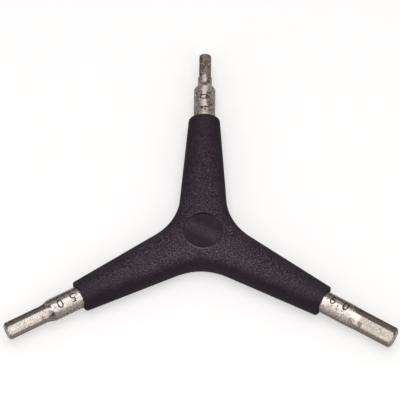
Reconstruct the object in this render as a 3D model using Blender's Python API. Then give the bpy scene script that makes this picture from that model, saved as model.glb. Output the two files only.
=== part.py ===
"""Three-way Y hex wrench: a moulded Y handle that carries a 4 mm, a 5 mm and a 6 mm hexagon bit.

Units are metres. The wrench lies flat: the land under its hub is the plane z = 0, and +Z points up
through the round recess in the hub. The arms lie 120 degrees apart, with the 4 mm bit along +Y.
"""
import math
from typing import NamedTuple

import bmesh
import bpy
from mathutils import Matrix, Vector

# Arms of the handle, seen from above
ARM_REACH = 0.045            # hub centre to the end of a handle arm
ARM_END_HALF_WIDTH = 0.0052
ARM_HUB_HALF_WIDTH = 0.00875     # where the arm's straight sides would reach the hub centre
VALLEY_RADIUS = 0.0185       # rounds the side of one arm into the side of the next
ARM_COUNT = 3

# Crown of the handle, seen from its side
ARM_END_HALF_HEIGHT = 0.0048
HUB_HALF_HEIGHT = 0.0054
ARM_END_SQUARENESS = 2.0     # exponent of the cross-section: 2 is an ellipse, more has fuller shoulders
HUB_SQUARENESS = 2.8
ARM_END_ROUNDING = 0.0005
MOUTH_CHAMFER = 0.0002
LAND_DEPTH = 0.0002          # how far the crown under the hub is flattened
RECESS_RADIUS = 0.0064
RECESS_DEPTH = 0.00065       # below the highest point of the hub

# All bits: turned blanks with six milled flats
SHANK_RADIUS = 0.0036
CORNER_ALLOWANCE = 0.00005   # the blank is turned this much larger than the hexagon's corners
TIP_INSET = 0.0002           # the end face is this much smaller than the flats, inside a 45 degree chamfer
FLAT_COUNT = 6

# 4 mm bit
BIT_4_EXPOSED = 0.0259       # end of the handle arm to the end face of the bit
BIT_4_ACROSS_FLATS = 0.004
BIT_4_FLAT_LENGTH = 0.0083   # full flats, from the end face
BIT_4_RUN_OUT_RADIUS = 0.0010    # of the cutter that leaves the curved end of each flat
BIT_4_NECK_LENGTH = 0.0035   # from the full flats to the cone
BIT_4_CONE_LENGTH = 0.0021   # where the neck widens to the shank

# 5 mm bit
BIT_5_EXPOSED = 0.0262
BIT_5_ACROSS_FLATS = 0.005
BIT_5_FLAT_LENGTH = 0.0130
BIT_5_RUN_OUT_RADIUS = 0.0035
BIT_5_NECK_LENGTH = 0.0009
BIT_5_CONE_LENGTH = 0.0021

# 6 mm bit
BIT_6_EXPOSED = 0.0257
BIT_6_ACROSS_FLATS = 0.006
BIT_6_FLAT_LENGTH = 0.0123
BIT_6_RUN_OUT_RADIUS = 0.0080
BIT_6_NECK_LENGTH = 0.0027
BIT_6_CONE_LENGTH = 0.0003

# Roots of the bits, moulded into the handle
ROOT_START = 0.008           # hub centre to the inner end of a bit
ROOT_CHAMFER = 0.0004
ROOT_HALF_ACROSS_FLATS = 0.0029      # two flats that stop the bit from turning
ROOT_FLAT_LENGTH = 0.009
GROOVE_START = 0.024         # a ring of plastic fills this groove and stops the bit from pulling out
GROOVE_WIDTH = 0.003
GROOVE_DEPTH = 0.0006
MOULD_GAP = 0.0003           # clearance between the steel and the plastic round it

OVERRUN = 0.002              # how far every cutter runs past the surface it cuts

# Fineness
ROUND_STEPS = 36
RECESS_STEPS = 48
ARM_STATIONS = 5
VALLEY_STATIONS = 8
ROUNDING_STEPS = 3
SECTION_STEPS = 7            # from the crown's ridge to the parting line
RUN_OUT_STEPS = 6
MERGE_DISTANCE = 0.000001
SHARP_ANGLE = math.radians(30)

AXIS_HEIGHT = HUB_HALF_HEIGHT - LAND_DEPTH      # height of the arms' centre lines over the land


class Bit(NamedTuple):
    """One bit, with its hexagon and the turned neck and cone that lead to its shank."""
    name: str
    direction: float         # degrees from +X, seen from above
    exposed: float
    across_flats: float
    flat_length: float
    run_out_radius: float
    neck_length: float
    cone_length: float

    @property
    def reach(self):
        """Hub centre to the end face."""
        return ARM_REACH + self.exposed


BITS = (
    Bit("hex_bit_4mm", 90, BIT_4_EXPOSED, BIT_4_ACROSS_FLATS, BIT_4_FLAT_LENGTH, BIT_4_RUN_OUT_RADIUS,
        BIT_4_NECK_LENGTH, BIT_4_CONE_LENGTH),
    Bit("hex_bit_5mm", 210, BIT_5_EXPOSED, BIT_5_ACROSS_FLATS, BIT_5_FLAT_LENGTH, BIT_5_RUN_OUT_RADIUS,
        BIT_5_NECK_LENGTH, BIT_5_CONE_LENGTH),
    Bit("hex_bit_6mm", 330, BIT_6_EXPOSED, BIT_6_ACROSS_FLATS, BIT_6_FLAT_LENGTH, BIT_6_RUN_OUT_RADIUS,
        BIT_6_NECK_LENGTH, BIT_6_CONE_LENGTH),
)


def material(name, colour, roughness, metallic):
    made = bpy.data.materials.new(name)
    made.use_nodes = True
    shader = made.node_tree.nodes["Principled BSDF"]
    shader.inputs["Base Color"].default_value = (*colour, 1.0)
    shader.inputs["Roughness"].default_value = roughness
    shader.inputs["Metallic"].default_value = metallic
    made.diffuse_color = (*colour, 1.0)
    return made


def add_object(name, mesh, parent=None, finish=None):
    made = bpy.data.objects.new(name, mesh)
    bpy.context.scene.collection.objects.link(made)
    made.parent = parent
    if finish:
        mesh.materials.append(finish)
    return made


def mesh_from(build_mesh, name):
    mesh = bpy.data.meshes.new(name)
    build_mesh.to_mesh(mesh)
    build_mesh.free()
    return mesh


def hide_cutter(cutter):
    cutter.hide_render = True
    cutter.display_type = "WIRE"


def cut(target, cutter):
    hide_cutter(cutter)
    modifier = target.modifiers.new("cut " + cutter.name, "BOOLEAN")
    modifier.operation = "DIFFERENCE"
    modifier.solver = "EXACT"
    modifier.object = cutter


def turned(name, profile, steps, parent=None, finish=None):
    """Revolves a profile of (height, radius) points, from its top to its foot, about the local Z axis.

    It starts half a step round, so that no edge of it lies on an edge or corner of what it cuts or carries.
    """
    mesh = bpy.data.meshes.new(name)
    half_step = math.pi / steps
    across = math.cos(half_step)
    aside = math.sin(half_step)
    points = [(radius * across, radius * aside, height) for height, radius in profile]
    mesh.from_pydata(points, [(i, i + 1) for i in range(len(points) - 1)], [])
    made = add_object(name, mesh, parent, finish)
    screw = made.modifiers.new("turn", "SCREW")
    screw.axis = "Z"
    screw.steps = steps
    screw.render_steps = steps
    screw.use_merge_vertices = True
    screw.merge_threshold = MERGE_DISTANCE
    return made


def extruded(name, outline, half_width):
    """Extrudes an outline of (x, z) points to both sides of the local XZ plane."""
    shape = bmesh.new()
    corners = [shape.verts.new((x, -half_width, z)) for x, z in outline]
    side = shape.faces.new(corners)
    grown = bmesh.ops.extrude_face_region(shape, geom=[side])["geom"]
    moved = [part for part in grown if isinstance(part, bmesh.types.BMVert)]
    bmesh.ops.translate(shape, verts=moved, vec=Vector((0, 2 * half_width, 0)))
    bmesh.ops.recalc_face_normals(shape, faces=shape.faces)
    return mesh_from(shape, name)


# Handle

def share_from_hub(station):
    """0 at the hub centre, 1 at the end of an arm."""
    return station / ARM_REACH


def side_slope():
    return (ARM_HUB_HALF_WIDTH - ARM_END_HALF_WIDTH) / ARM_REACH


def half_width(station):
    return ARM_HUB_HALF_WIDTH - side_slope() * station


def half_height(station):
    return HUB_HALF_HEIGHT + (ARM_END_HALF_HEIGHT - HUB_HALF_HEIGHT) * share_from_hub(station)


def squareness(station):
    return HUB_SQUARENESS + (ARM_END_SQUARENESS - HUB_SQUARENESS) * share_from_hub(station)


class Valley:
    """The arc that joins the side of the arm along +X to the side of the next arm."""

    def __init__(self):
        taper = math.atan(side_slope())
        half_turn = math.pi / ARM_COUNT
        between = math.pi / 2 - half_turn
        corner = ARM_HUB_HALF_WIDTH * math.cos(taper) / math.cos(between - taper)
        opening = half_turn + taper
        reach = corner + VALLEY_RADIUS / math.sin(opening)
        self.middle = Vector((math.cos(half_turn), math.sin(half_turn))) * reach
        tangent_length = VALLEY_RADIUS / math.tan(opening)
        self.start = corner * math.cos(half_turn) + tangent_length * math.cos(taper)
        self.first_angle = -math.pi / 2 - taper
        self.last_angle = half_turn - math.pi
        self.steepness = VALLEY_RADIUS * (self.first_angle - self.last_angle) * math.cos(taper) / self.start

    def outline(self, share):
        angle = self.first_angle + (self.last_angle - self.first_angle) * share
        return self.middle + VALLEY_RADIUS * Vector((math.cos(angle), math.sin(angle)))

    def ridge(self, share):
        """Station on the arm's centre line: it follows the arm first and comes to rest at the hub centre."""
        ease = 2 * share**3 - 3 * share**2 + 1
        lead = share**3 - 2 * share**2 + share
        return self.start * (ease - self.steepness * lead)


def section(ridge, outline, height, exponent):
    """Points from the top ridge, over the outline, to the bottom ridge, on one side of an arm."""
    points = []
    for step in range(2 * SECTION_STEPS + 1):
        angle = math.pi / 2 * step / SECTION_STEPS
        across = abs(math.sin(angle))
        up = math.cos(angle)
        scale = (across**exponent + abs(up) ** exponent) ** (-1 / exponent)
        level = 0 if step == SECTION_STEPS else height * up * scale
        place = ridge + (outline - ridge) * across * scale
        points.append((place.x, 0 if step in (0, 2 * SECTION_STEPS) else place.y, level))
    return points


def arm_side_sections():
    """Cross-sections of one side of the arm along +X, from its end to the line halfway to the next arm."""
    sections = []
    for step in range(ROUNDING_STEPS + 1):
        angle = math.pi / 2 * step / ROUNDING_STEPS
        inset = ARM_END_ROUNDING * (1 - math.sin(angle))
        station = ARM_REACH - ARM_END_ROUNDING * (1 - math.cos(angle))
        outline = Vector((station, half_width(station) - inset))
        height = half_height(station) - inset
        sections.append(section(Vector((station, 0)), outline, height, squareness(station)))
    valley = Valley()
    straight_end = ARM_REACH - ARM_END_ROUNDING
    for step in range(1, ARM_STATIONS + 1):
        station = straight_end + (valley.start - straight_end) * step / ARM_STATIONS
        outline = Vector((station, half_width(station)))
        sections.append(section(Vector((station, 0)), outline, half_height(station), squareness(station)))
    for step in range(1, VALLEY_STATIONS + 1):
        share = step / VALLEY_STATIONS
        station = valley.ridge(share)
        ridge = Vector((station, 0))
        sections.append(section(ridge, valley.outline(share), half_height(station), squareness(station)))
    return sections


def handle_mesh():
    """Lofts one side of one arm, mirrors it over the arm's centre line and turns the arm round the hub."""
    shape = bmesh.new()
    rows = [[shape.verts.new(point) for point in points] for points in arm_side_sections()]
    for row, following in zip(rows, rows[1:]):
        for i in range(len(row) - 1):
            shape.faces.new((row[i], row[i + 1], following[i + 1], following[i]))
    shape.faces.new(rows[0])
    mirrored = bmesh.ops.duplicate(shape, geom=shape.verts[:] + shape.edges[:] + shape.faces[:])["geom"]
    mirrored_verts = [part for part in mirrored if isinstance(part, bmesh.types.BMVert)]
    bmesh.ops.scale(shape, vec=Vector((1, -1, 1)), verts=mirrored_verts)
    one_arm = shape.verts[:] + shape.edges[:] + shape.faces[:]
    for turn in range(1, ARM_COUNT):
        copy = bmesh.ops.duplicate(shape, geom=one_arm)["geom"]
        copied_verts = [part for part in copy if isinstance(part, bmesh.types.BMVert)]
        spin = Matrix.Rotation(2 * math.pi * turn / ARM_COUNT, 3, "Z")
        bmesh.ops.rotate(shape, matrix=spin, verts=copied_verts)
    bmesh.ops.remove_doubles(shape, verts=shape.verts, dist=MERGE_DISTANCE)
    bmesh.ops.dissolve_degenerate(shape, edges=shape.edges, dist=MERGE_DISTANCE)
    bmesh.ops.recalc_face_normals(shape, faces=shape.faces)
    return mesh_from(shape, "handle")


def make_handle(wrench, plastic):
    handle = add_object("handle", handle_mesh(), wrench, plastic)
    handle.data.shade_smooth()
    first_direction = math.radians(BITS[0].direction)
    handle.rotation_euler.z = first_direction
    handle.location.z = AXIS_HEIGHT
    return handle


def cut_hub(handle, wrench):
    """Sinks the round recess into the top of the hub and flattens the crown under it."""
    floor = AXIS_HEIGHT + HUB_HALF_HEIGHT - RECESS_DEPTH
    top = AXIS_HEIGHT + HUB_HALF_HEIGHT + OVERRUN
    recess_profile = ((top, 0), (top, RECESS_RADIUS), (floor, RECESS_RADIUS), (floor, 0))
    recess = turned("recess_cutter", recess_profile, RECESS_STEPS, wrench)
    cut(handle, recess)
    outline = ((-ARM_REACH, -OVERRUN), (ARM_REACH, -OVERRUN), (ARM_REACH, 0), (-ARM_REACH, 0))
    land = add_object("land_cutter", extruded("land_cutter", outline, ARM_REACH), wrench)
    cut(handle, land)


# Bits

def neck_radius(bit):
    corner = bit.across_flats / 2 / math.cos(math.pi / FLAT_COUNT)
    return min(corner + CORNER_ALLOWANCE, SHANK_RADIUS)


def blank_profile(bit):
    """Outline of the turned blank, as (distance from the hub centre, radius), from the tip to the root."""
    tip_radius = bit.across_flats / 2 - TIP_INSET
    neck = neck_radius(bit)
    chamfer_end = bit.reach - (neck - tip_radius)
    cone_foot = bit.reach - bit.flat_length - bit.neck_length
    groove_end = GROOVE_START + GROOVE_WIDTH
    groove_radius = SHANK_RADIUS - GROOVE_DEPTH
    return (
        (bit.reach, 0),
        (bit.reach, tip_radius),
        (chamfer_end, neck),
        (cone_foot, neck),
        (cone_foot - bit.cone_length, SHANK_RADIUS),
        (groove_end, SHANK_RADIUS),
        (groove_end, groove_radius),
        (GROOVE_START, groove_radius),
        (GROOVE_START, SHANK_RADIUS),
        (ROOT_START + ROOT_CHAMFER, SHANK_RADIUS),
        (ROOT_START, SHANK_RADIUS - ROOT_CHAMFER),
        (ROOT_START, 0),
    )


def cavity_profile():
    """Outline of the hole round a bit's shank and root, with the clearance all round."""
    radius = SHANK_RADIUS + MOULD_GAP
    rib_radius = radius - GROOVE_DEPTH
    rib_start = GROOVE_START + MOULD_GAP
    rib_end = GROOVE_START + GROOVE_WIDTH - MOULD_GAP
    bottom = ROOT_START - MOULD_GAP
    return (
        (ARM_REACH + OVERRUN, 0),
        (ARM_REACH + OVERRUN, radius + MOUTH_CHAMFER + OVERRUN),
        (ARM_REACH - MOUTH_CHAMFER, radius),
        (rib_end, radius),
        (rib_end, rib_radius),
        (rib_start, rib_radius),
        (rib_start, radius),
        (bottom + ROOT_CHAMFER, radius),
        (bottom, radius - ROOT_CHAMFER),
        (bottom, 0),
    )


def flat_mill_outline(bit):
    """Path of the cutter over one flat: level along the flat, then a curved run-out into the blank."""
    flat = bit.across_flats / 2
    flat_end = bit.reach - bit.flat_length
    clear = SHANK_RADIUS + OVERRUN
    radius = bit.run_out_radius
    arc_rise = min(clear - flat, radius)
    last_angle = math.acos(1 - arc_rise / radius)
    outline = [(clear, bit.reach + OVERRUN), (flat, bit.reach + OVERRUN)]
    for step in range(RUN_OUT_STEPS + 1):
        angle = last_angle * step / RUN_OUT_STEPS
        outline.append((flat + radius * (1 - math.cos(angle)), flat_end - radius * math.sin(angle)))
    if radius < clear - flat:
        outline.append((clear, flat_end - radius))
    return outline


def mill_hexagon(bar, bit, along):
    """Cuts the six flats, with a corner of the hexagon pointing up when the wrench lies flat."""
    mesh = extruded(bit.name + "_mill", flat_mill_outline(bit), SHANK_RADIUS + OVERRUN)
    for flat in range(FLAT_COUNT):
        mill = add_object(f"{bit.name}_mill_{flat + 1}", mesh, along)
        mill.rotation_euler.z = math.pi / FLAT_COUNT * (1 + 2 * flat)
        cut(bar, mill)


def mill_root(bar, name, along, gap):
    """Cuts the two flats of a root, or of the hole round it when there is a gap."""
    flat = ROOT_HALF_ACROSS_FLATS + gap
    clear = SHANK_RADIUS + OVERRUN
    low = ROOT_START - OVERRUN
    high = ROOT_START + ROOT_FLAT_LENGTH - gap
    for side in (1, -1):
        outline = [(side * flat, low), (side * clear, low), (side * clear, high), (side * flat, high)]
        label = f"{name}_{'upper' if side < 0 else 'lower'}"
        mill = add_object(label, extruded(label, outline, clear), along)
        cut(bar, mill)


def bit_axis(bit, wrench):
    """An empty at the hub centre whose Z axis runs out along the bit."""
    along = bpy.data.objects.new(bit.name + "_axis", None)
    bpy.context.scene.collection.objects.link(along)
    along.parent = wrench
    along.location.z = AXIS_HEIGHT
    along.rotation_euler = (0, math.pi / 2, math.radians(bit.direction))
    return along


def make_bit(bit, along, steel):
    bar = turned(bit.name, blank_profile(bit), ROUND_STEPS, along, steel)
    mill_hexagon(bar, bit, along)
    mill_root(bar, bit.name + "_root_mill", along, 0)


def cut_cavity(handle, bit, along):
    cavity = turned(bit.name + "_cavity", cavity_profile(), ROUND_STEPS, along)
    mill_root(cavity, bit.name + "_cavity_mill", along, MOULD_GAP)
    cut(handle, cavity)


def main():
    for old in list(bpy.data.objects):
        bpy.data.objects.remove(old)
    plastic = material("black_moulded_plastic", (0.042, 0.036, 0.042), 0.62, 0.0)
    steel = material("nickel_plated_steel", (0.56, 0.52, 0.49), 0.34, 1.0)
    wrench = bpy.data.objects.new("y_wrench", None)
    bpy.context.scene.collection.objects.link(wrench)
    handle = make_handle(wrench, plastic)
    for bit in BITS:
        along = bit_axis(bit, wrench)
        make_bit(bit, along, steel)
        cut_cavity(handle, bit, along)
    cut_hub(handle, wrench)
    bpy.context.view_layer.update()
    handle.data.set_sharp_from_angle(angle=SHARP_ANGLE)


main()
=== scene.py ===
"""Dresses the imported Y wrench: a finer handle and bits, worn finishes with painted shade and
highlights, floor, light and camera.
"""
import math

import bmesh
import bpy
from mathutils import Euler, Matrix, Vector


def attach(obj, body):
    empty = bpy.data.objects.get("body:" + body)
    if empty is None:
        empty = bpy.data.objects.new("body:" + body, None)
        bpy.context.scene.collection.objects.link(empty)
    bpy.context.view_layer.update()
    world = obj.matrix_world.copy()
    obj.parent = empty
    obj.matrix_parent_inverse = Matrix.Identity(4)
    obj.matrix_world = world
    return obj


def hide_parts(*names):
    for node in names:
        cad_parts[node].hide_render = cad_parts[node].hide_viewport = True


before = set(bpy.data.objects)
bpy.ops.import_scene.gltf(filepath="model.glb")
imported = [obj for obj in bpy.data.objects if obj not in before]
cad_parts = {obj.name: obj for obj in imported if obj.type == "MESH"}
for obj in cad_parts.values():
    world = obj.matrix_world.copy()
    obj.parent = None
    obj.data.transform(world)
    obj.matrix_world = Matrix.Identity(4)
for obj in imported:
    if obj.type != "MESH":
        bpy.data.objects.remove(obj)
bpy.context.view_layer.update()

# Handle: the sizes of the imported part, in metres
AXIS_HEIGHT = 0.0052         # arms' centre lines over the surface that the wrench lies on
ARM_COUNT = 3
ARM_REACH = 0.045            # from the hub centre
ARM_END_HALF_WIDTH = 0.0052
ARM_HUB_HALF_WIDTH = 0.00875  # of an arm whose sides went on as far as the hub centre
VALLEY_RADIUS = 0.0185
ARM_END_HALF_HEIGHT = 0.0048
HUB_HALF_HEIGHT = 0.0054
ARM_END_SQUARENESS = 2.0     # a section's exponent: 2 is an ellipse, more is fuller at the corners
HUB_SQUARENESS = 2.8
ARM_END_ROUNDING = 0.0005
MOUTH_CHAMFER = 0.0002
RECESS_RADIUS = 0.0064
RECESS_DEPTH = 0.00065       # under the crown's highest point
RECESS_FLOOR = HUB_HALF_HEIGHT - RECESS_DEPTH
SHANK_RADIUS = 0.0036
MOULD_GAP = 0.0003           # between a bit and the plastic round it
ROOT_START = 0.008           # from the hub centre to a bit's inner end
FIRST_ARM = math.radians(90)

# Handle: what only the picture needs
RIM_FILLET = 0.0001          # rounds the rim of the recess
FLOOR_FILLET = 0.0001        # rounds the foot of its wall
PATCH_RADIUS = 0.0076        # inside it, the hub's crown is laid out in rings round the recess
PARTING_RIDGE = 0.00004      # height of the line that the two halves of the mould leave
PARTING_FOOT = 0.01          # from that line to its foot on each side, as a share of a quarter turn
ROW_COUNTS = {"end": 6, "arm": 30, "valley": 10, "hub": 22}
RING_COUNTS = {"crown": 8, "rim": 5, "foot": 4, "floor": 8}
QUARTER_STEPS = 30           # from the crown's ridge to the parting line
HANDLE_EDGE = math.radians(50)    # the handle's edges that turn more than this are left sharp

# Bits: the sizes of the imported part
BITS = {
    "hex_bit_4mm": {
        "Direction": 90, "Reach": 0.0709, "Across flats": 0.004, "Flat length": 0.0083,
        "Run-out radius": 0.0010, "Neck length": 0.0035, "Cone length": 0.0021},
    "hex_bit_5mm": {
        "Direction": 210, "Reach": 0.0712, "Across flats": 0.005, "Flat length": 0.0130,
        "Run-out radius": 0.0035, "Neck length": 0.0009, "Cone length": 0.0021},
    "hex_bit_6mm": {
        "Direction": 330, "Reach": 0.0707, "Across flats": 0.006, "Flat length": 0.0123,
        "Run-out radius": 0.0080, "Neck length": 0.0027, "Cone length": 0.0003},
}
CORNER_ALLOWANCE = 0.00005   # by which a neck is thicker than the corners of its hexagon
TIP_INSET = 0.0002           # by which the chamfer makes the end face smaller than the flats

# Bits: what only the picture needs
EDGE_SOFTNESS = 0.00018      # width over which the milled edges are worn round
MOUTH_OVERLAP = 0.002        # the finely divided length goes on this far into the handle
BIT_ROWS = 210
BIT_STEPS = 240
TIP_CROWDING = 1.5           # above 1, the rows stand closer towards the tip
BIT_EDGE = math.radians(35)  # the bits' edges that turn more than this are left sharp

# Numbers stamped along the shanks
NUMBER_HEIGHT = 0.0032
NUMBER_DEPTH = 0.00014
NUMBER_SPREAD = 1.3          # the digits stand apart, one stamp each
DIGIT_SHARE = 0.72           # of the lettering's size that a digit's height takes up

# Wear, grime, painted shade and a painted highlight on each bit. A place is given along the bit from
# the hub centre, then round it in degrees from the top towards the left, looking outwards, and then
# out from its axis.
#   Plate: colour of the clean plate. Satin: its least roughness. Relief: strength of its bumps.
#   Pits, Pit scale: how dark the pits are, and how many there are along a metre.
#   Film, Clouds: share of grease over the hexagon, and in clouds all over.
#   Painted shade height: how far over the axis the painted shade reaches on the shank, and on the
#       flats.
#   Far side: how much the painted shade climbs the far side, the left one if this is negative.
#   Painted highlight: strength of the pale band painted along the top as a highlight, which also
#     stands for the plate worn by rubbing, then its middle and its reach, both as the slope of a
#     line from the axis, sideways over upwards.
#   Stamp: place of the number, along and round.
#   Stains: place of each, along, round and out, and its radius.
WEAR_AND_PAINTED_LIGHT = {
    "hex_bit_4mm": {
        "Plate": "#B2AAA5", "Satin": 0.24, "Relief": 1.1, "Pits": 1.0, "Pit scale": 1700.0,
        "Film": 0.35, "Clouds": 0.6, "Painted shade height": (0.0034, 0.0026), "Far side": 0.0,
        "Painted highlight": (0.95, 0.03, 0.42), "Stamp": (0.0502, 4),
        "Stains": [(0.0677, -9, 0.0021, 0.0009), (0.0666, -6, 0.0022, 0.0006),
                   (0.0651, 15, 0.0021, 0.0009), (0.0577, -3, 0.0032, 0.0011),
                   (0.0541, -20, 0.0036, 0.0008), (0.0535, 21, 0.0036, 0.0006),
                   (0.0492, 25, 0.0036, 0.0005), (0.0494, -29, 0.0036, 0.0008),
                   (0.0474, -31, 0.0036, 0.0006)]},
    "hex_bit_5mm": {
        "Plate": "#A9A49F", "Satin": 0.20, "Relief": 0.3, "Pits": 0.85, "Pit scale": 2400.0,
        "Film": 0.0, "Clouds": 0.42, "Painted shade height": (0.0023, 0.0022), "Far side": 0.55,
        "Painted highlight": (0.30, 0.27, 0.30), "Stamp": (0.0501, 14),
        "Stains": [(0.0561, 52, 0.0033, 0.0017), (0.0593, 48, 0.0026, 0.0008),
                   (0.0464, 4, 0.0036, 0.0006)]},
    "hex_bit_6mm": {
        "Plate": "#9D968E", "Satin": 0.20, "Relief": 0.3, "Pits": 0.55, "Pit scale": 2400.0,
        "Film": 0.0, "Clouds": 0.45, "Painted shade height": (0.0019, 0.0020), "Far side": -0.55,
        "Painted highlight": (0.45, -0.3, 0.54), "Stamp": (0.0504, 8),
        "Stains": [(0.0591, -47, 0.0031, 0.0012), (0.0565, -52, 0.0034, 0.0006),
                   (0.0460, -46, 0.0036, 0.0006)]},
}
STAIN_WANDER = 0.0018        # how far the stains' edges stray
NICKS_END = 0.0545           # the nicks lie between the handle and this place along the bit
NICKS_HEIGHT = 0.0026        # and higher than this over its axis

# Studio
ROOM = "#FFCFC6"             # the dark, warm room round the table
ROOM_STRENGTH = 0.10
FLOOR_HALF_SIZE = 1.5
FLOOR_GAP = 0.00002          # between the paper and the wrench, so that they never coincide
PAPER_LIFT = 0.40            # what the paper gains in the picture, where pure white is 1
# Each softbox's place, width, depth and radiance; one that looks pure white has a radiance of 1
SOFTBOXES = {
    "overhead_softbox": ((0.0, 0.11, 0.9), 0.75, 0.66, 2.3),
    "front_softbox": ((0.0, -0.55, 0.85), 1.9, 0.6, 2.1),
    "low_left_softbox": ((-0.75, -0.85, 0.38), 1.0, 0.7, 1.3),
    "low_right_softbox": ((0.75, -0.85, 0.45), 1.0, 0.7, 0.82),
    "back_softbox": ((0.0, 0.80, 0.68), 1.6, 0.5, 0.5),
    "left_side_softbox": ((-0.9, 0.42, 0.5), 0.5, 0.5, 0.9),
    "right_side_softbox": ((0.9, 0.42, 0.5), 0.5, 0.5, 1.1),
}
# The camera, as it was fitted to the photograph
LENS = 199.582               # focal length in mm, over a sensor 36 mm wide
SENSOR_WIDTH = 36
EYE_PLACE = (-0.005975, -0.353267, 0.633544)
EYE_TURN = (30.3112, -0.8955, 0.7622)    # degrees round X, Y and Z

# Mesh work
WELD = 1e-6                  # points closer than this are merged
FINE_WELD = 1e-7             # within an arm or a bit, whose own points lie closer together
NO_LENGTH = 1e-8             # edges shorter than this are dissolved
HALVINGS = 48                # in a search, to the limit of the numbers' precision

# A Mix node's sockets for colours, by number, because those for other kinds have the same names
SHARE, FROM, TO = 0, 6, 7
COLOURS = {"output": 2, "data_type": "RGBA"}
DISTANCE = {"output": "Value", "operation": "DISTANCE"}
MATH = "ShaderNodeMath"


def linear(code):
    """Turns an sRGB hex colour into the linear colour that a shader's socket takes."""
    shares = [int(code[i:i + 2], 16) / 255 for i in (1, 3, 5)]
    return tuple(s / 12.92 if s <= 0.04045 else ((s + 0.055) / 1.055) ** 2.4
                 for s in shares) + (1.0,)


def fill_sockets(tree, node, inputs):
    """Sets and links a node's inputs.

    An input is a value, another node's output, or a Math node's formula, which is written
    (operation, operand, ...).
    """
    for place, source in inputs.items():
        if isinstance(source, tuple) and isinstance(source[0], str):
            source = add_node(tree, MATH, dict(enumerate(source[1:])), operation=source[0])
        if isinstance(source, bpy.types.NodeSocket):
            tree.links.new(source, node.inputs[place])
        else:
            node.inputs[place].default_value = source


def add_node(tree, kind, inputs=None, output=0, **settings):
    """Adds a node with its settings and links, and returns one of its outputs."""
    node = tree.nodes.new(kind)
    for name, value in settings.items():
        setattr(node, name, value)
    fill_sockets(tree, node, inputs or {})
    return node.outputs[output] if len(node.outputs) else node


def add_object(name, data):
    made = bpy.data.objects.new(name, data)
    bpy.context.scene.collection.objects.link(made)
    return made


def plain_mesh(made):
    """The mesh that an object and its modifiers give."""
    graph = bpy.context.evaluated_depsgraph_get()
    return bpy.data.meshes.new_from_object(made.evaluated_get(graph), depsgraph=graph)


def make_plain(made):
    """Gives an object the plain mesh of its modifiers' result, and removes them."""
    mesh = plain_mesh(made)
    mesh.name = made.name
    made.modifiers.clear()
    made.data = mesh


def clean(mesh):
    """Takes edges without length out of a closed mesh, and turns its faces outwards."""
    shape = bmesh.new()
    shape.from_mesh(mesh)
    bmesh.ops.dissolve_degenerate(shape, edges=shape.edges, dist=NO_LENGTH)
    bmesh.ops.recalc_face_normals(shape, faces=shape.faces)
    shape.to_mesh(mesh)
    shape.free()


def smooth(mesh, edge):
    """Shades a mesh smooth, up to the edges that turn more than an angle."""
    mesh.shade_smooth()
    mesh.set_sharp_from_angle(angle=edge)


def new_tree(name, inputs, output):
    """Starts a Geometry Nodes tree, and returns it with the sockets of its named inputs."""
    tree = bpy.data.node_groups.new(name, "GeometryNodeTree")
    for kind, names in inputs.items():
        for socket in names:
            tree.interface.new_socket(socket, in_out="INPUT", socket_type="NodeSocket" + kind)
    tree.interface.new_socket(output, in_out="OUTPUT", socket_type="NodeSocketGeometry")
    return tree, tree.nodes.new("NodeGroupInput").outputs


def add_tree(made, tree, values):
    """Adds a Geometry Nodes modifier and sets its inputs by their sockets' identifiers."""
    modifier = made.modifiers.new(tree.name, "NODES")
    modifier.node_group = tree
    for item in tree.interface.items_tree:
        if item.item_type == "SOCKET" and item.in_out == "INPUT" and item.name in values:
            modifier[item.identifier] = values[item.name]


# Handle

def side_slope():
    return (ARM_HUB_HALF_WIDTH - ARM_END_HALF_WIDTH) / ARM_REACH


def half_width(station):
    return ARM_HUB_HALF_WIDTH - side_slope() * station


def half_height(station):
    return HUB_HALF_HEIGHT + (ARM_END_HALF_HEIGHT - HUB_HALF_HEIGHT) * station / ARM_REACH


def squareness(station):
    return HUB_SQUARENESS + (ARM_END_SQUARENESS - HUB_SQUARENESS) * station / ARM_REACH


def unit(angle):
    """Direction at an angle from +X, seen from above."""
    return Vector((math.cos(angle), math.sin(angle)))


def search(low, high, is_before):
    """Finds where a test that holds at the low end stops holding."""
    for _ in range(HALVINGS):
        middle = (low + high) / 2
        low, high = (middle, high) if is_before(middle) else (low, middle)
    return (low + high) / 2


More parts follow.
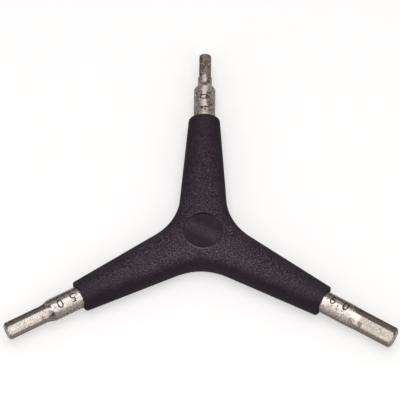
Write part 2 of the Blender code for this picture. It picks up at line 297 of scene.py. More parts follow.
class Valley:
    """The arc that joins the side of the arm along +X to the side of the next arm.

    Each section of the hub runs from a point on the arm's centre line to one on the arc, and is
    known by its share of the arc, from 0 at the arm to 1 half way to the next.
    """

    def __init__(self):
        taper = math.atan(side_slope())
        half_turn = math.pi / ARM_COUNT
        corner = ARM_HUB_HALF_WIDTH * math.cos(taper) / math.cos(math.pi / 2 - half_turn - taper)
        opening = half_turn + taper
        self.middle = unit(half_turn) * (corner + VALLEY_RADIUS / math.sin(opening))
        tangent_length = VALLEY_RADIUS / math.tan(opening)
        self.start = corner * math.cos(half_turn) + tangent_length * math.cos(taper)
        self.first_angle = -math.pi / 2 - taper
        self.last_angle = half_turn - math.pi
        arc_length = VALLEY_RADIUS * (self.first_angle - self.last_angle)
        self.steepness = arc_length * math.cos(taper) / self.start

    def outline(self, share):
        angle = self.first_angle + (self.last_angle - self.first_angle) * share
        return self.middle + VALLEY_RADIUS * unit(angle)

    def ridge(self, share):
        """Station on the arm's centre line.

        It leaves the arm as fast as the outline does, and settles at the hub centre.
        """
        ease = 2 * share**3 - 3 * share**2 + 1
        lead = share**3 - 2 * share**2 + share
        return self.start * (ease - self.steepness * lead)

    def share_through(self, place):
        """Share of the section that runs through a place near the hub."""
        def falls_short(share):
            ridge = Vector((self.ridge(share), 0))
            return (self.outline(share) - ridge).cross(place - ridge) > 0
        return search(0.0, 1.0, falls_short)

    def crown(self, place):
        """Height of the crown over the arms' centre lines, at a place near the hub."""
        share = self.share_through(place)
        station = self.ridge(share)
        ridge = Vector((station, 0))
        across = (place - ridge).length / (self.outline(share) - ridge).length
        exponent = squareness(station)
        return half_height(station) * (1 - across**exponent) ** (1 / exponent)


def superellipse(angle, exponent):
    """Shares across and up of a section's point, at an angle from the crown's ridge."""
    across = abs(math.sin(angle))
    up = abs(math.cos(angle))
    scale = (across**exponent + up**exponent) ** (-1 / exponent)
    return across * scale, up * scale


def angle_at(across_share, exponent):
    """Angle from the ridge at which a section reaches a share of its width."""
    return search(0.0, math.pi / 2, lambda angle: superellipse(angle, exponent)[0] < across_share)


def section(station, outline, height, first_share=0.0):
    """Half a section, from the crown over the parting line to the bottom, in the hub's frame.

    The one that starts off the ridge has its first point at a share of its width.
    """
    exponent = squareness(station)
    ridge = Vector((station, 0))
    quarter = math.pi / 2
    first = angle_at(first_share, exponent) if first_share else 0.0
    angles = [first + (quarter - first) * i / QUARTER_STEPS for i in range(QUARTER_STEPS)]
    angles += [quarter * (1 - PARTING_FOOT), quarter, quarter * (1 + PARTING_FOOT)]
    angles += [quarter * (1 + i / QUARTER_STEPS) for i in range(1, QUARTER_STEPS + 1)]
    parting = QUARTER_STEPS + 1
    points = []
    for i, angle in enumerate(angles):
        across, up = superellipse(angle, exponent)
        place = ridge + (outline - ridge) * across
        if i == parting:
            place = place + (outline - ridge).normalized() * PARTING_RIDGE
            up = 0.0
        level = height * up if i < parting else -height * up
        if i in (0, len(angles) - 1) and not (i == 0 and first_share):
            place = ridge
        points.append(Vector((place.x, place.y, max(level, -AXIS_HEIGHT))))
    return points


def bore_ring(station, radius):
    """Half a ring inside the arm, with a point for each point of a section."""
    count = 2 * QUARTER_STEPS + 2
    angles = [math.pi * i / count for i in range(count + 1)]
    return [Vector((station, radius * math.sin(a) if 0 < i < count else 0.0, radius * math.cos(a)))
            for i, a in enumerate(angles)]


def arm_rows(valley):
    """Half sections of one side of the arm along +X: bore, arm's end, side, valley and hub."""
    bore = SHANK_RADIUS + MOULD_GAP
    rows = [
        bore_ring(ROOT_START - MOULD_GAP, 0.0),
        bore_ring(ROOT_START - MOULD_GAP, bore),
        bore_ring(ARM_REACH - MOUTH_CHAMFER, bore),
        bore_ring(ARM_REACH, bore + MOUTH_CHAMFER),
    ]
    for step in range(ROW_COUNTS["end"] + 1):
        angle = math.pi / 2 * step / ROW_COUNTS["end"]
        inset = ARM_END_ROUNDING * (1 - math.sin(angle))
        station = ARM_REACH - ARM_END_ROUNDING * (1 - math.cos(angle))
        outline = Vector((station, half_width(station) - inset))
        rows.append(section(station, outline, half_height(station) - inset))
    straight_end = ARM_REACH - ARM_END_ROUNDING
    for step in range(1, ROW_COUNTS["arm"] + 1):
        station = straight_end + (valley.start - straight_end) * step / ROW_COUNTS["arm"]
        rows.append(section(station, Vector((station, half_width(station))), half_height(station)))
    patch_share = valley.share_through(Vector((PATCH_RADIUS, 0)))
    for step in range(1, ROW_COUNTS["valley"] + 1):
        share = patch_share * step / ROW_COUNTS["valley"]
        station = PATCH_RADIUS if step == ROW_COUNTS["valley"] else valley.ridge(share)
        rows.append(section(station, valley.outline(share), half_height(station)))
    for step in range(1, ROW_COUNTS["hub"] + 1):
        place = PATCH_RADIUS * unit(math.pi / ARM_COUNT * step / ROW_COUNTS["hub"])
        is_last = step == ROW_COUNTS["hub"]
        share = 1.0 if is_last else valley.share_through(place)
        station = 0.0 if is_last else valley.ridge(share)
        ridge = Vector((station, 0))
        outline = valley.outline(share)
        first_share = (place - ridge).length / (outline - ridge).length
        rows.append(section(station, outline, half_height(station), first_share))
        rows[-1][0].xy = place    # exactly on the patch's edge, where the rings begin
    return rows


def hub_lines(valley):
    """Lines from the patch's edge over the rim and down to the middle of the recess floor."""
    rim = RECESS_RADIUS + RIM_FILLET
    foot = RECESS_RADIUS - FLOOR_FILLET
    lines = []
    for step in range(ROW_COUNTS["hub"] + 1):
        along = unit(math.pi / ARM_COUNT * step / ROW_COUNTS["hub"])
        points = []
        for i in range(RING_COUNTS["crown"] + 1):
            radius = PATCH_RADIUS + (rim - PATCH_RADIUS) * i / RING_COUNTS["crown"]
            points.append((radius, valley.crown(radius * along)))
        top = points[-1][1]
        for i in range(1, RING_COUNTS["rim"] + 1):
            angle = math.pi / 2 * i / RING_COUNTS["rim"]
            points.append((rim - RIM_FILLET * math.sin(angle),
                           top - RIM_FILLET * (1 - math.cos(angle))))
        for i in range(RING_COUNTS["foot"] + 1):
            angle = math.pi / 2 * i / RING_COUNTS["foot"]
            points.append((RECESS_RADIUS - FLOOR_FILLET * (1 - math.cos(angle)),
                           RECESS_FLOOR + FLOOR_FILLET * (1 - math.sin(angle))))
        points += [(foot * (1 - i / RING_COUNTS["floor"]), RECESS_FLOOR)
                   for i in range(1, RING_COUNTS["floor"] + 1)]
        lines.append([Vector((along.x * r, along.y * r, level)) for r, level in points])
    return lines


def half_arm_mesh():
    """One side of the arm along +X, with its sixth of the hub. The recess floor is marked."""
    valley = Valley()
    shape = bmesh.new()
    is_floor = shape.faces.layers.int.new("recess floor")
    for lines in (arm_rows(valley), hub_lines(valley)):
        grid = [[shape.verts.new(point) for point in line] for line in lines]
        for line, following in zip(grid, grid[1:]):
            for i in range(len(line) - 1):
                corners = (line[i], line[i + 1], following[i + 1], following[i])
                face = shape.faces.new(corners)
                face[is_floor] = all(
                    abs(v.co.z - RECESS_FLOOR) < FLOOR_FILLET / 2
                    and v.co.xy.length < RECESS_RADIUS for v in corners)
    mesh = bpy.data.meshes.new("half_arm")
    bmesh.ops.remove_doubles(shape, verts=shape.verts, dist=FINE_WELD)
    shape.to_mesh(mesh)
    shape.free()
    return mesh


def handle_tree():
    """Mirrors the half arm and sets it out round the hub."""
    tree, given = new_tree("arms_round_a_hub", {
        "Geometry": ["Half arm"], "Int": ["Arms"], "Float": ["First arm", "Height", "Weld"],
        "Material": ["Plastic", "Recess plastic"]}, "Handle")
    mirrored = add_node(tree, "GeometryNodeTransform", {
        "Geometry": given["Half arm"], "Scale": (1, -1, 1)})
    flipped = add_node(tree, "GeometryNodeFlipFaces", {"Mesh": mirrored})
    # A Join node takes both halves at its one socket, so they are linked by hand
    arm = tree.nodes.new("GeometryNodeJoinGeometry")
    tree.links.new(given["Half arm"], arm.inputs[0])
    tree.links.new(flipped, arm.inputs[0])
    hub = add_node(tree, "GeometryNodePoints", {"Count": given["Arms"]})
    index = add_node(tree, "GeometryNodeInputIndex")
    turn = ("ADD", given["First arm"],
            ("DIVIDE", ("MULTIPLY", index, 2 * math.pi), given["Arms"]))
    arms = add_node(tree, "GeometryNodeInstanceOnPoints", {
        "Points": hub, "Instance": arm.outputs[0],
        "Rotation": add_node(tree, "ShaderNodeCombineXYZ", {"Z": turn})})
    whole = add_node(tree, "GeometryNodeRealizeInstances", {"Geometry": arms})
    welded = add_node(tree, "GeometryNodeMergeByDistance", {
        "Geometry": whole, "Distance": given["Weld"]})
    lifted = add_node(tree, "GeometryNodeTransform", {
        "Geometry": welded,
        "Translation": add_node(tree, "ShaderNodeCombineXYZ", {"Z": given["Height"]})})
    dressed = add_node(tree, "GeometryNodeSetMaterial", {
        "Geometry": lifted, "Material": given["Plastic"]})
    floor = add_node(tree, "GeometryNodeInputNamedAttribute", {"Name": "recess floor"},
                     data_type="BOOLEAN")
    finished = add_node(tree, "GeometryNodeSetMaterial", {
        "Geometry": dressed, "Selection": floor, "Material": given["Recess plastic"]})
    add_node(tree, "NodeGroupOutput", {"Handle": finished})
    return tree


def make_handle():
    handle = add_object("grained_handle", half_arm_mesh())
    add_tree(handle, handle_tree(), {
        "Arms": ARM_COUNT, "First arm": FIRST_ARM, "Height": AXIS_HEIGHT, "Weld": WELD,
        "Plastic": grained_plastic_with_painted_light(), "Recess plastic": polished_plastic_with_painted_shade()})
    make_plain(handle)
    clean(handle.data)
    smooth(handle.data, HANDLE_EDGE)
    return handle


# Bits

def bit_tree():
    """A turned blank with six milled flats: each point lies on the lower of the two."""
    tree, given = new_tree("milled_hexagon_bit", {
        "Float": ["Direction", "Reach", "Across flats", "Flat length", "Run-out radius",
                  "Neck length", "Cone length", "Neck radius", "Shank radius", "Tip inset",
                  "Shown length", "Root start", "Edge softness", "Axis height"],
        "Int": ["Rows", "Steps round"], "Material": ["Finish"]}, "Bit")
    grid = add_node(tree, "GeometryNodeMeshGrid", {
        "Size X": 1.0, "Size Y": 1.0, "Vertices X": given["Rows"],
        "Vertices Y": ("ADD", given["Steps round"], 1)})
    place = add_node(tree, "GeometryNodeInputPosition")
    split = add_node(tree, "ShaderNodeSeparateXYZ", {"Vector": place}).node.outputs
    last = add_node(tree, MATH, {0: given["Rows"], 1: 1.0}, operation="SUBTRACT")
    row = add_node(tree, MATH, {0: ("MULTIPLY", ("ADD", split["X"], 0.5), last)},
                   operation="ROUND")
    angle = add_node(tree, MATH, {0: ("ADD", split["Y"], 0.5), 1: 2 * math.pi},
                     operation="MULTIPLY")

    # Rows: the middle of the end face, then the shown length, and in the last two the root
    share = ("MAXIMUM", ("DIVIDE", ("SUBTRACT", row, 1.0), ("SUBTRACT", last, 3.0)), 0.0)
    shown = ("MULTIPLY", given["Shown length"], ("POWER", share, TIP_CROWDING))
    rooted = add_node(tree, MATH, {0: row, 1: ("SUBTRACT", last, 1.5)}, operation="GREATER_THAN")
    to_root = ("MULTIPLY", ("SUBTRACT", given["Reach"], given["Root start"]), rooted)
    depth = add_node(tree, MATH, {
        0: ("MULTIPLY", shown, ("SUBTRACT", 1.0, rooted)), 1: to_root}, operation="ADD")
    past_flats = add_node(tree, MATH, {0: depth, 1: given["Flat length"]}, operation="SUBTRACT")

    # Blank: chamfered tip, neck, cone and shank
    flat = add_node(tree, MATH, {0: given["Across flats"], 1: 0.5}, operation="MULTIPLY")
    chamfer = ("ADD", ("SUBTRACT", flat, given["Tip inset"]), depth)
    past_neck = ("SUBTRACT", past_flats, given["Neck length"])
    cone_share = ("MAXIMUM", ("DIVIDE", past_neck, given["Cone length"]), 0.0)
    widening = ("SUBTRACT", given["Shank radius"], given["Neck radius"])
    body = ("ADD", given["Neck radius"], ("MULTIPLY", widening, ("MINIMUM", cone_share, 1.0)))
    blank = ("SMOOTH_MIN", chamfer, body, given["Edge softness"])

    # Flats: level, then the curved run-out of the milling cutter, then out of the cutter's reach
    run = add_node(tree, MATH, {0: past_flats, 1: given["Run-out radius"]}, operation="DIVIDE")
    run_share = add_node(tree, MATH, {0: ("MAXIMUM", run, 0.0), 1: 1.0}, operation="MINIMUM")
    cutter_height = ("SQRT", ("SUBTRACT", 1.0, ("MULTIPLY", run_share, run_share)))
    rise = ("MULTIPLY", given["Run-out radius"], ("SUBTRACT", 1.0, cutter_height))
    clear = ("MULTIPLY", ("GREATER_THAN", run, 0.999), given["Shank radius"])
    apothem = add_node(tree, MATH, {0: flat, 1: ("ADD", rise, clear)}, operation="ADD")
    sixth = math.pi / 3
    off_corner = ("SUBTRACT", angle, ("MULTIPLY", ("FLOOR", ("DIVIDE", angle, sixth)), sixth))
    off_middle = add_node(tree, MATH, {0: ("SUBTRACT", off_corner, sixth / 2)},
                          operation="ABSOLUTE")
    this_flat = ("DIVIDE", apothem, ("COSINE", off_middle))
    next_flat = ("DIVIDE", apothem, ("COSINE", ("SUBTRACT", sixth, off_middle)))
    hexagon = ("SMOOTH_MIN", this_flat, next_flat, given["Edge softness"])
    radius = ("SMOOTH_MIN", hexagon, blank, given["Edge softness"])

    # The first and last rows close the ends
    walled = ("MULTIPLY", ("GREATER_THAN", row, 0.5), ("LESS_THAN", row, ("SUBTRACT", last, 0.5)))
    out = add_node(tree, MATH, {0: radius, 1: walled}, operation="MULTIPLY")
    bar = add_node(tree, "ShaderNodeCombineXYZ", {
        "X": ("SUBTRACT", given["Reach"], depth), "Y": ("MULTIPLY", out, ("SINE", angle)),
        "Z": ("MULTIPLY", out, ("COSINE", angle))})
    turned = add_node(tree, "GeometryNodeSetPosition", {"Geometry": grid, "Position": bar})
    welded = add_node(tree, "GeometryNodeMergeByDistance", {
        "Geometry": turned, "Distance": FINE_WELD})
    laid = add_node(tree, "GeometryNodeTransform", {
        "Geometry": welded,
        "Translation": add_node(tree, "ShaderNodeCombineXYZ", {"Z": given["Axis height"]}),
        "Rotation": add_node(tree, "ShaderNodeCombineXYZ", {"Z": given["Direction"]})})
    real = add_node(tree, "GeometryNodeRealizeInstances", {"Geometry": laid})
    dressed = add_node(tree, "GeometryNodeSetMaterial", {
        "Geometry": real, "Material": given["Finish"]})
    add_node(tree, "NodeGroupOutput", {"Bit": dressed})
    return tree


def number_cutter(name, text, direction, along, turn):
    """A number stamped into the shank, read outwards along it, as a solid to cut with."""
    curve = bpy.data.curves.new(name, "FONT")
    curve.body = text
    curve.align_x = "CENTER"
    curve.size = NUMBER_HEIGHT / DIGIT_SHARE
    curve.space_character = NUMBER_SPREAD
    curve.resolution_u = 6
    lettering = add_object(name, curve)
    mesh = plain_mesh(lettering)
    bpy.data.objects.remove(lettering)
    shape = bmesh.new()
    shape.from_mesh(mesh)
    bmesh.ops.remove_doubles(shape, verts=shape.verts, dist=WELD)
    # The copied side is raised by 1 only to tell it from the first, until both are bent round
    for part in bmesh.ops.extrude_face_region(shape, geom=shape.faces[:])["geom"]:
        if isinstance(part, bmesh.types.BMVert):
            part.co.z = 1.0
    spin = Matrix.Rotation(direction, 3, "Z")
    for vert in shape.verts:
        radius = SHANK_RADIUS + (NUMBER_DEPTH if vert.co.z > 0.5 else -NUMBER_DEPTH)
        angle = turn + (vert.co.y - NUMBER_HEIGHT / 2) / SHANK_RADIUS
        own = Vector((along + vert.co.x, radius * math.sin(angle), radius * math.cos(angle)))
        vert.co = spin @ own + Vector((0, 0, AXIS_HEIGHT))
    bmesh.ops.recalc_face_normals(shape, faces=shape.faces)
    shape.to_mesh(mesh)
    shape.free()
    return add_object(name, mesh)


def make_bit(name, tree, stamped):
    """Mills a bit, then stamps its size in millimetres into the shank."""
    sizes, wear_and_light = BITS[name], WEAR_AND_PAINTED_LIGHT[name]
    bit = add_object("milled_" + name, bpy.data.meshes.new("milled_" + name))
    corner = sizes["Across flats"] / 2 / math.cos(math.pi / 6)
    direction = math.radians(sizes["Direction"])
    add_tree(bit, tree, {
        **sizes, "Direction": direction,
        "Neck radius": min(corner + CORNER_ALLOWANCE, SHANK_RADIUS),
        "Shank radius": SHANK_RADIUS, "Tip inset": TIP_INSET,
        "Shown length": sizes["Reach"] - ARM_REACH + MOUTH_OVERLAP, "Root start": ROOT_START,
        "Edge softness": EDGE_SOFTNESS, "Axis height": AXIS_HEIGHT, "Rows": BIT_ROWS,
        "Steps round": BIT_STEPS, "Finish": worn_nickel_with_painted_light("worn_nickel_with_painted_light_" + name, sizes, wear_and_light)})
    make_plain(bit)
    clean(bit.data)
    bit.data.materials.append(stamped)
    along, turn = wear_and_light["Stamp"]
    cutter = number_cutter("number_" + name, f"{sizes['Across flats'] * 1000:.1f}", direction,
                           along, math.radians(turn))
    cutter.data.materials.append(stamped)
    modifier = bit.modifiers.new("stamp", "BOOLEAN")
    modifier.operation = "DIFFERENCE"
    modifier.solver = "EXACT"
    modifier.material_mode = "TRANSFER"
    modifier.object = cutter
    make_plain(bit)
    bpy.data.objects.remove(cutter)
    smooth(bit.data, BIT_EDGE)
    return bit


# Finishes

def new_material(name):
    made = bpy.data.materials.new(name)
    made.use_nodes = True
    return made, made.node_tree, made.node_tree.nodes["Principled BSDF"]


def painted_corner_shade(tree, place):
    """Share of painted shade in the far corner of the recess: a crescent about 55 degrees long.

    It lies outside a sphere that is larger than the recess and centred in front of it.
    """
    away = add_node(tree, "ShaderNodeVectorMath", {
        0: place, 1: (0.0, -0.0030, AXIS_HEIGHT + RECESS_FLOOR)}, **DISTANCE)
    return add_node(tree, "ShaderNodeMapRange", {
        "Value": away, "From Min": 0.0091, "From Max": 0.00935})


def grained_plastic_with_painted_light():
    """Glass-filled nylon, moulded in a spark-eroded mould.

    It is dull and pebbled, and its black has a faint purple-brown cast that shifts slowly along
    the arms. Hands have worn the crowns smoother than the sides. Pale painted glints on the grain
    stand for light breaking into fine sparks there, most of all in front of the recess. A painted
    highlight lies on the near rim of the recess, and painted shade in its far corner.
    """
    made, tree, shader = new_material("spark_grained_black_nylon_with_painted_light")
    place = add_node(tree, "ShaderNodeTexCoord", output="Object")
    level = add_node(tree, "ShaderNodeSeparateXYZ", {"Vector": place}, output="Z")
    cast = add_node(tree, "ShaderNodeTexNoise", {"Vector": place, "Scale": 260.0, "Detail": 3.0})
    # Real grain is about 0.1 mm wide; it is drawn 0.4 mm wide so that it shows in the picture
    grain = add_node(tree, "ShaderNodeTexNoise", {
        "Vector": place, "Scale": 2500.0, "Detail": 1.5, "Roughness": 0.6})
    pebbles = add_node(tree, "ShaderNodeTexVoronoi", {"Vector": place, "Scale": 1900.0},
                       feature="SMOOTH_F1")

    # The crowns, worn by hands; the painted glints gather on them
    rubbed_and_highlight = add_node(tree, "ShaderNodeMapRange", {
        "Value": ("ADD", level, ("MULTIPLY", cast, 0.0012)), "From Min": AXIS_HEIGHT + 0.0036,
        "From Max": AXIS_HEIGHT + 0.0060}, interpolation_type="SMOOTHSTEP")
    moulded = add_node(tree, "ShaderNodeMix", {
        SHARE: cast, FROM: linear("#150813"), TO: linear("#1B0C17")}, **COLOURS)
    handled = add_node(tree, "ShaderNodeMix", {
        SHARE: rubbed_and_highlight, FROM: moulded, TO: linear("#130713")}, **COLOURS)

    # Painted glints: pale sparks of light on the grain, most of them round the place where a thumb
    # rests
    from_thumb = add_node(tree, "ShaderNodeVectorMath", {
        0: place, 1: (0.0, -0.012, AXIS_HEIGHT)}, **DISTANCE)
    glints_round_thumb = add_node(tree, "ShaderNodeMapRange", {
        "Value": from_thumb, "From Min": 0.040, "From Max": 0.006, "To Min": 0.45, "To Max": 1.1})
    sparks = add_node(tree, "ShaderNodeMapRange", {
        "Value": grain, "From Min": 0.49, "From Max": 0.62})
    share = ("MULTIPLY", ("MULTIPLY", sparks, ("ADD", rubbed_and_highlight, 0.2)), glints_round_thumb)
    painted_glints = add_node(tree, "ShaderNodeMix", {
        SHARE: share, FROM: handled, TO: linear("#514351")}, **COLOURS)

    # Painted highlight on the rim of the recess, where the thumb crosses it
    flat_place = add_node(tree, "ShaderNodeVectorMath", {0: place, 1: (1.0, 1.0, 0.0)},
                          operation="MULTIPLY")
    outward = add_node(tree, "ShaderNodeVectorMath", {0: flat_place}, output="Value",
                       operation="LENGTH")
    off_rim = ("ABSOLUTE", ("SUBTRACT", outward, RECESS_RADIUS + 0.00022))
    rim = add_node(tree, "ShaderNodeMapRange", {
        "Value": off_rim, "From Min": 0.0003, "From Max": 0.0})
    from_crossing = add_node(tree, "ShaderNodeVectorMath", {
        0: place, 1: (-0.0021, -0.0064, AXIS_HEIGHT + 0.005)}, **DISTANCE)
    rim_highlight_reach = add_node(tree, "ShaderNodeMapRange", {
        "Value": from_crossing, "From Min": 0.0054, "From Max": 0.0006})
    rim_highlighted = add_node(tree, "ShaderNodeMix", {
        SHARE: ("MULTIPLY", ("MULTIPLY", rim, rim_highlight_reach), ("ADD", grain, 0.2)),
        FROM: painted_glints, TO: linear("#7C747B")}, **COLOURS)

    # Painted shade on the wall of the recess, in its far corner
    in_recess = ("MULTIPLY", ("LESS_THAN", outward, RECESS_RADIUS + 0.00006),
                 ("GREATER_THAN", level, AXIS_HEIGHT))
    corner_shaded = add_node(tree, "ShaderNodeMix", {
        SHARE: ("MULTIPLY", painted_corner_shade(tree, place), in_recess),
        FROM: rim_highlighted, TO: linear("#050405")}, **COLOURS)

    smoothed = add_node(tree, "ShaderNodeMapRange", {
        "Value": rubbed_and_highlight, "To Min": 0.88, "To Max": 0.48})
    bump = add_node(tree, "ShaderNodeBump", {
        "Height": ("ADD", grain, ("MULTIPLY", pebbles, 0.5)), "Strength": 0.9,
        "Distance": 0.00011})
    fill_sockets(tree, shader, {
        "Base Color": corner_shaded, "Specular IOR Level": 0.3, "Normal": bump,
        "Roughness": ("ADD", smoothed, ("MULTIPLY", ("SUBTRACT", grain, 0.5), 0.5))})
    return made


def polished_plastic_with_painted_shade():
    """The same nylon in the recess, where the mould has a smoother round insert.

    It is nearly as dark as the crown round it and has no grain. It is scuffed in a band across
    its middle, and painted shade darkens its far corner.
    """
    made, tree, shader = new_material("smooth_black_nylon_with_painted_shade")
    place = add_node(tree, "ShaderNodeTexCoord", output="Object")
    # Real scuffs are hair-fine; they are drawn 0.4 mm wide so that they show in the picture
    scratches = add_node(tree, "ShaderNodeTexNoise", {
        "Vector": place, "Scale": 2300.0, "Detail": 2.0})
    patches = add_node(tree, "ShaderNodeTexNoise", {
        "Vector": place, "Scale": 420.0, "Detail": 2.0})
    band_way = add_node(tree, "ShaderNodeMapping", {
        "Vector": place, "Rotation": (0, 0, math.radians(28))})
    across = add_node(tree, "ShaderNodeSeparateXYZ", {"Vector": band_way}, output="Y")
    band = add_node(tree, "ShaderNodeMapRange", {
        "Value": ("ABSOLUTE", across), "From Min": 0.0030, "From Max": 0.0008, "To Min": 0.12})
    scuffs = add_node(tree, "ShaderNodeMapRange", {
        "Value": scratches, "From Min": 0.36, "From Max": 0.66})
    scuffed = add_node(tree, "ShaderNodeMix", {
        SHARE: ("MULTIPLY", scuffs, band), FROM: linear("#1B0F1B"), TO: linear("#453845")},
        **COLOURS)
    dirt_and_shade = painted_corner_shade(tree, place)
    # Painted shade: the far corner of the recess floor is darkened
    corner_shaded = add_node(tree, "ShaderNodeMix", {
        SHARE: dirt_and_shade, FROM: scuffed, TO: linear("#050405")}, **COLOURS)
    rough = add_node(tree, "ShaderNodeMapRange", {
        "Value": ("MAXIMUM", dirt_and_shade, patches), "To Min": 0.42, "To Max": 0.95})
    bump = add_node(tree, "ShaderNodeBump", {
        "Height": scratches, "Strength": 0.4, "Distance": 0.0001})
    fill_sockets(tree, shader, {
        "Base Color": corner_shaded, "Specular IOR Level": 0.3, "Roughness": rough, "Normal": bump})
    return made


def grease_and_painted_shade(tree, split, cloud, flats_start, wear_and_light):
    """Share of grease in clouds and over the hexagon, and of painted shade underneath and up the far
    side.
    """
    on_hexagon = add_node(tree, "ShaderNodeMapRange", {
        "Value": split["X"], "From Min": flats_start - 0.0020, "From Max": flats_start})
    # The painted shade climbs the far side of the shank twice as much as that of the hexagon
    lean = ("MULTIPLY", ("SUBTRACT", 2.0, on_hexagon), wear_and_light["Far side"])
    height = ("MINIMUM", split["Z"], ("ADD", split["Z"], ("MULTIPLY", split["Y"], lean)))
    on_shank, on_flats = wear_and_light["Painted shade height"]
    painted_shade_line = ("ADD", AXIS_HEIGHT + on_shank, ("MULTIPLY", on_hexagon, on_flats - on_shank))
    # Painted shade: darker underneath, up to a line over the axis
    painted_underside_shade = add_node(tree, "ShaderNodeMapRange", {
        "Value": ("SUBTRACT", painted_shade_line, height), "From Max": 0.0014, "To Max": 0.84})
    worked = add_node(tree, "ShaderNodeMapRange", {
        "Value": split["X"], "From Min": flats_start - 0.0006, "From Max": flats_start + 0.0006,
        "To Max": wear_and_light["Film"]})
    clouded = add_node(tree, "ShaderNodeMapRange", {
        "Value": cloud, "From Min": 0.50, "From Max": 0.80, "To Max": wear_and_light["Clouds"]})
    return ("MAXIMUM", ("MAXIMUM", clouded, worked), painted_underside_shade)


def painted_highlight_band(tree, split, cloud, flats_start, wear_and_light):
    """Share of painted highlight: an uneven pale band along the top up to the flats, where the plate
    is also worn by rubbing.
    """
    strength, middle, reach = wear_and_light["Painted highlight"]
    above_axis = ("MAXIMUM", ("SUBTRACT", split["Z"], AXIS_HEIGHT), 0.0005)
    off_middle = ("ABSOLUTE", ("SUBTRACT", ("DIVIDE", split["Y"], above_axis), middle))
    uneven = ("MULTIPLY", ("SUBTRACT", cloud, 0.5), 1.6)
    highlight_topside = add_node(tree, "ShaderNodeMapRange", {
        "Value": ("ADD", off_middle, uneven), "From Min": reach, "From Max": reach - 0.26,
        "To Max": strength})
    short_of_flats = add_node(tree, "ShaderNodeMapRange", {
        "Value": split["X"], "From Min": flats_start + 0.0008, "From Max": flats_start - 0.0004})
    return ("MULTIPLY", highlight_topside, short_of_flats)


def stained_share(tree, own, dark, stains):
    """Adds ragged round stains to a share of darkening."""
    noise = add_node(tree, "ShaderNodeTexNoise", {"Vector": own, "Scale": 1300.0, "Detail": 3.0},
                     output="Color")
    strayed = add_node(tree, "ShaderNodeVectorMath", {0: noise, 1: (STAIN_WANDER,) * 3, 2: own},
                       operation="MULTIPLY_ADD")
    mean_stray = Vector((STAIN_WANDER / 2,) * 3)
    for along, around, out, radius in stains:
        angle = math.radians(around)
        middle = Vector((along, out * math.sin(angle), AXIS_HEIGHT + out * math.cos(angle)))
        away = add_node(tree, "ShaderNodeVectorMath", {0: strayed, 1: middle + mean_stray},
                        **DISTANCE)
        stain = add_node(tree, "ShaderNodeMapRange", {
            "Value": away, "From Min": radius, "From Max": radius * 0.3, "To Max": 0.7})
        dark = ("MAXIMUM", dark, stain)
    return dark


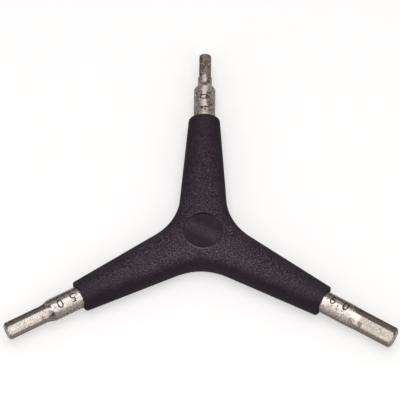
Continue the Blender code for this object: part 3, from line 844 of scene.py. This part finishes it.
def worn_nickel_with_painted_light(name, sizes, wear_and_light):
    """Satin nickel plate on a chrome-vanadium bit, dulled by handling.

    The plate is pale grey and speckled with fine pits. Grey grease films it over a hexagon that is
    used much. Painted shade darkens it underneath and up its far side, and a painted highlight lies
    along the top of the shank as a pale band, where the plate is also worn by rubbing. Grease stays
    as brown stains where the milled flats run out. Small nicks lie on the top of the shank. The
    finish is given in the bit's own directions, with X along it and Z up.
    """
    made, tree, shader = new_material(name)
    place = add_node(tree, "ShaderNodeTexCoord", output="Object")
    own = add_node(tree, "ShaderNodeMapping", {
        "Vector": place, "Rotation": (0, 0, -math.radians(sizes["Direction"]))})
    split = add_node(tree, "ShaderNodeSeparateXYZ", {"Vector": own}).node.outputs
    flats_start = sizes["Reach"] - sizes["Flat length"]
    cloud = add_node(tree, "ShaderNodeTexNoise", {
        "Vector": own, "Scale": 420.0, "Detail": 4.0, "Roughness": 0.6})
    # Real pits are under 0.05 mm wide; they are drawn 0.4 mm wide, and 0.6 mm on the 4 mm bit, so
    # that they show in the picture
    pits = add_node(tree, "ShaderNodeTexNoise", {
        "Vector": own, "Scale": wear_and_light["Pit scale"], "Detail": 2.0})
    # Turning marks are about 0.1 mm apart along the bit
    lathe_way = add_node(tree, "ShaderNodeMapping", {
        "Vector": own, "Scale": (9000.0, 600.0, 600.0)})
    turning = add_node(tree, "ShaderNodeTexNoise", {
        "Vector": lathe_way, "Scale": 1.0, "Detail": 1.0})

    # Grey grease, and painted shade underneath and up the far side
    grease_and_shade = grease_and_painted_shade(tree, split, cloud, flats_start, wear_and_light)
    greased_and_shaded = add_node(tree, "ShaderNodeMix", {
        SHARE: grease_and_shade, FROM: linear(wear_and_light["Plate"]), TO: linear("#5F504A")}, **COLOURS)

    # Dark pits and pale flecks between them. Grease fills the pits on the underside.
    pitted = add_node(tree, "ShaderNodeMapRange", {
        "Value": pits, "From Min": 0.42, "From Max": 0.30, "To Max": wear_and_light["Pits"]})
    flecks = add_node(tree, "ShaderNodeMapRange", {
        "Value": pits, "From Min": 0.54, "From Max": 0.68, "To Max": wear_and_light["Pits"] * 0.7})
    open_pits = add_node(tree, "ShaderNodeMapRange", {
        "Value": split["Z"], "From Min": AXIS_HEIGHT - 0.0012, "From Max": AXIS_HEIGHT + 0.0008,
        "To Min": 0.25})
    speckled = add_node(tree, "ShaderNodeMix", {
        SHARE: ("MULTIPLY", pitted, open_pits), FROM: greased_and_shaded, TO: linear("#3E322B")}, **COLOURS)
    rubbed_and_highlight = painted_highlight_band(tree, split, cloud, flats_start, wear_and_light)
    # Pale flecks between the pits, and the painted highlight band along the top
    flecked_and_highlighted = add_node(tree, "ShaderNodeMix", {
        SHARE: ("MAXIMUM", ("MULTIPLY", flecks, open_pits), rubbed_and_highlight),
        FROM: speckled, TO: linear("#E6DED8")}, **COLOURS)

    # Nicks: short dark dents across the top of the shank
    dents = add_node(tree, "ShaderNodeTexVoronoi", {
        "Vector": own, "Scale": 950.0, "Randomness": 1.0})
    dented = ("MULTIPLY", ("LESS_THAN", dents, 0.28), ("GREATER_THAN", cloud, 0.52))
    on_top = ("MULTIPLY", ("LESS_THAN", split["X"], NICKS_END),
              ("GREATER_THAN", split["Z"], AXIS_HEIGHT + NICKS_HEIGHT))
    nicks = add_node(tree, MATH, {0: dented, 1: on_top}, operation="MULTIPLY")
    stained = add_node(tree, "ShaderNodeMix", {
        SHARE: stained_share(tree, own, nicks, wear_and_light["Stains"]),
        FROM: flecked_and_highlighted, TO: linear("#43352D")}, **COLOURS)

    rough = add_node(tree, "ShaderNodeMapRange", {
        "Value": cloud, "To Min": wear_and_light["Satin"], "To Max": wear_and_light["Satin"] + 0.16})
    relief = ("SUBTRACT", ("ADD", pits, ("MULTIPLY", turning, 0.4)), nicks)
    bump = add_node(tree, "ShaderNodeBump", {
        "Height": relief, "Strength": wear_and_light["Relief"], "Distance": 0.00006})
    # The tint darkens the plate slightly where it is seen edge on
    fill_sockets(tree, shader, {
        "Base Color": stained, "Metallic": 1.0, "Specular Tint": linear("#E0DCD9"),
        "Roughness": rough, "Normal": bump})
    return made


def stamped_steel():
    """Steel stamped through the plate and full of old grease: dark brown and dull."""
    made, tree, shader = new_material("greasy_stamped_steel")
    place = add_node(tree, "ShaderNodeTexCoord", output="Object")
    dirt_and_shade = add_node(tree, "ShaderNodeTexNoise", {"Vector": place, "Scale": 3000.0, "Detail": 2.0})
    colour = add_node(tree, "ShaderNodeMix", {
        SHARE: dirt_and_shade, FROM: linear("#2A211D"), TO: linear("#4A3D36")}, **COLOURS)
    fill_sockets(tree, shader, {"Base Color": colour, "Metallic": 0.6, "Roughness": 0.6})
    return made


def white_paper():
    """Seamless studio paper: matt white that keeps the wrench's soft shadow.

    It is lifted to pure white where the camera, a reflection or clear plastic shows it.
    """
    made, tree, shader = new_material("white_studio_paper")
    place = add_node(tree, "ShaderNodeTexCoord", output="Object")
    fibre = add_node(tree, "ShaderNodeTexNoise", {"Vector": place, "Scale": 900.0, "Detail": 2.0})
    colour = add_node(tree, "ShaderNodeMix", {
        SHARE: fibre, FROM: linear("#C8C8C8"), TO: linear("#CCCCCC")}, **COLOURS)
    rays = add_node(tree, "ShaderNodeLightPath").node.outputs
    seen = ("MAXIMUM", ("MAXIMUM", rays["Is Camera Ray"], rays["Is Glossy Ray"]),
            rays["Is Transmission Ray"])
    fill_sockets(tree, shader, {
        "Base Color": colour, "Roughness": 0.95, "Specular IOR Level": 0.1,
        "Emission Color": linear("#FFFFFF"), "Emission Strength": ("MULTIPLY", seen, PAPER_LIFT)})
    return made


# Studio

def add_floor():
    shape = bmesh.new()
    bmesh.ops.create_grid(shape, x_segments=1, y_segments=1, size=FLOOR_HALF_SIZE)
    mesh = bpy.data.meshes.new("studio_floor")
    shape.to_mesh(mesh)
    shape.free()
    mesh.materials.append(white_paper())
    floor = add_object("studio_floor", mesh)
    floor.location.z = -FLOOR_GAP


def add_softbox(name, place, width, depth, radiance):
    """A rectangular softbox that faces the hub."""
    light = bpy.data.lights.new(name, "AREA")
    light.shape = "RECTANGLE"
    light.size = width
    light.size_y = depth
    light.energy = radiance * math.pi * width * depth
    lamp = add_object(name, light)
    lamp.location = place
    lamp.rotation_euler = (-Vector(place)).to_track_quat("-Z", "Y").to_euler()


def add_camera():
    camera = bpy.data.cameras.new("camera")
    camera.lens = LENS
    camera.sensor_width = SENSOR_WIDTH
    eye = add_object("camera", camera)
    eye.location = EYE_PLACE
    eye.rotation_euler = Euler([math.radians(a) for a in EYE_TURN])
    bpy.context.scene.camera = eye


def set_world():
    world = bpy.data.worlds.new("studio")
    world.use_nodes = True
    fill_sockets(world.node_tree, world.node_tree.nodes["Background"], {
        "Color": linear(ROOM), "Strength": ROOM_STRENGTH})
    bpy.context.scene.world = world


def main():
    handle = make_handle()
    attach(handle, "root")
    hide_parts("handle")
    tree = bit_tree()
    stamped = stamped_steel()
    for name in BITS:
        bit = make_bit(name, tree, stamped)
        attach(bit, "root")
        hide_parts(name)
    add_floor()
    set_world()
    for name, settings in SOFTBOXES.items():
        add_softbox(name, *settings)
    add_camera()
    bpy.context.scene.view_settings.view_transform = "Standard"


main()
